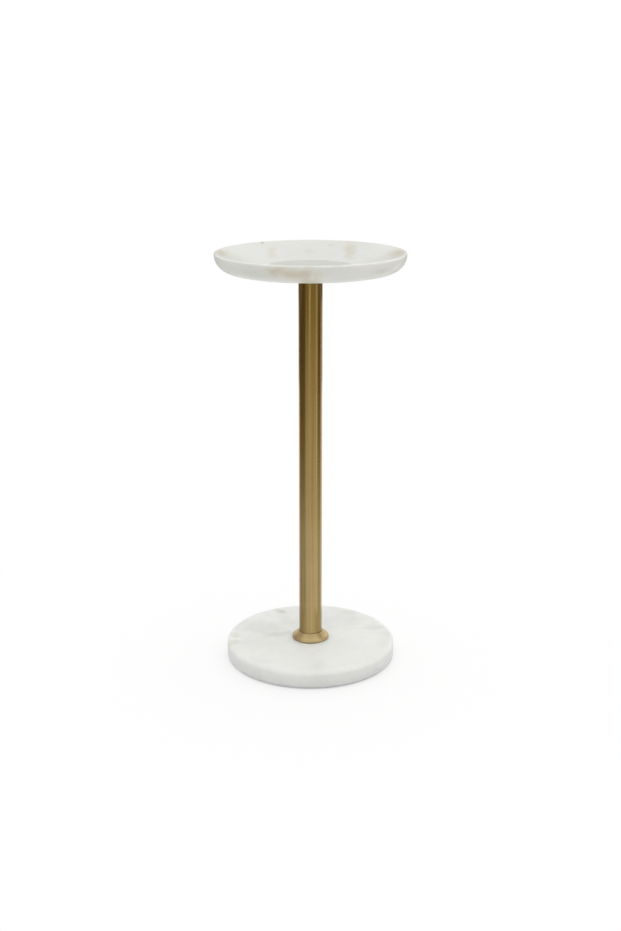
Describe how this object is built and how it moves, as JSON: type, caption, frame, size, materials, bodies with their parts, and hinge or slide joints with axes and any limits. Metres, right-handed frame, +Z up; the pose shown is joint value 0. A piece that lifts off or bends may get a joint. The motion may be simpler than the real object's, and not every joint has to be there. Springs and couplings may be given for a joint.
{
  "type": "wine table",
  "caption": "Small round drinks table: a shallow dished marble tray on a straight brass post with a flared collar, standing on a thick round marble base with felt feet.",
  "frame": {"origin": "on the floor, at the middle of the base under the post", "axes": "+Z up along the post; the table is round, so X and Y are free, with the usual view along +Y"},
  "size_m": [0.254, 0.254, 0.5745],
  "materials": {
    "felt": "pressed wool felt",
    "base_marble": "honed white marble with faint grey clouds",
    "rubber": "matt",
    "steel": "zinc plated",
    "collar_brass": "satin antique brass, turned",
    "post_brass": "satin antique brass, brushed lengthwise",
    "tray_marble": "polished white marble with warm tan veins"
  },
  "bodies": {
    "root": {"felt_pad_1": "felt", "felt_pad_2": "felt", "felt_pad_3": "felt", "felt_pad_4": "felt", "base_disc": "base_marble", "base_gasket": "rubber", "base_washer": "steel", "spring_washer": "steel", "base_bolt": "steel", "base_collar": "collar_brass", "post_tube": "post_brass", "bottom_plug": "steel", "top_plug": "steel", "tray_stud": "steel", "tray_plate": "steel", "tray_top": "tray_marble"}
  },
  "joints": []
}
